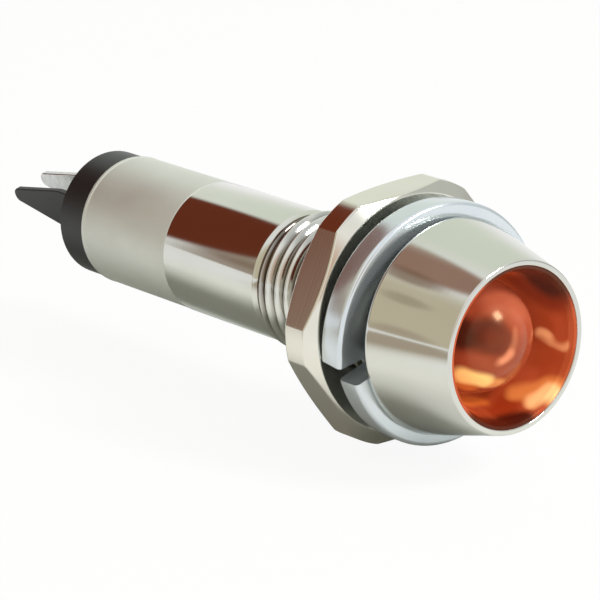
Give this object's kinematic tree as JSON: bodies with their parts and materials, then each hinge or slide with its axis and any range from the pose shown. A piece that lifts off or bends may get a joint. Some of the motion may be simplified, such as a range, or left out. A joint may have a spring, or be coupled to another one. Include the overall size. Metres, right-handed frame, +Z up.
{
  "type": "panel pilot light",
  "caption": "Metal panel pilot light with a tapered head, amber dome lens in a cup, threaded barrel with nut and split spring washer, rear sleeve and solder tags.",
  "frame": {"origin": "centre of the head's rear shoulder, which seats on the front face of the panel", "axes": "+Y along the lamp from the panel seat to the solder tags, so the front looks towards -Y; +Z up"},
  "size_m": [0.0184, 0.054, 0.0176],
  "materials": {
    "nickel_plate": "turned brass with bright nickel plating",
    "nut_plate": "brass nut with bright nickel plating",
    "plated_spring_steel": "bright zinc plated spring steel",
    "amber_liner": "polished, amber tinted",
    "amber_lens": "moulded clear amber acrylic",
    "amber_epoxy": "cast amber epoxy",
    "chip": "sawn semiconductor",
    "gold_wire": "fine drawn gold",
    "tinned_lead": "tinned wire",
    "solder": "bright solder",
    "holder_plastic": "moulded black nylon",
    "tube_plastic": "extruded natural tubing",
    "resistor_coat": "dipped lacquer",
    "diode_case": "moulded epoxy",
    "plug_plastic": "moulded black plastic",
    "tinned_tag": "stamped brass, tinned",
    "dark_tag": "stamped brass, dark dipped"
  },
  "bodies": {
    "housing": {"bezel_body": "nickel_plate", "liner_cup": "amber_liner", "lens_dome": "amber_lens", "led_body": "amber_epoxy", "led_chip": "chip", "led_anode": "tinned_lead", "led_cathode": "tinned_lead", "bond_wire": "gold_wire", "led_holder": "holder_plastic", "insulating_tube": "tube_plastic", "resistor_body": "resistor_coat", "resistor_front_lead": "tinned_lead", "resistor_rear_lead": "tinned_lead", "diode_body": "diode_case", "diode_front_lead": "tinned_lead", "diode_rear_lead": "tinned_lead", "led_solder_joints": "solder", "tag_solder_joints": "solder", "rear_sleeve": "nickel_plate", "insulator_plug": "plug_plastic", "positive_tag": "tinned_tag", "negative_tag": "dark_tag"},
    "washer": {"spring_washer": "plated_spring_steel"},
    "nut": {"hex_nut": "nut_plate"}
  },
  "joints": [
    {"name": "washer_slide", "type": "slide", "parent": "housing", "child": "washer", "axis": [0, 1, 0], "range_m": [0, 0.0085]},
    {"name": "nut_turn", "type": "hinge", "parent": "washer", "child": "nut", "pos_m": [0, 0.00495, 0], "axis": [0, 1, 0], "range_deg": [0, 3024]}
  ],
  "couplings": [
    {"joint": "washer_slide", "follows": "nut_turn", "m_per_rad": 0.00015915}
  ]
}
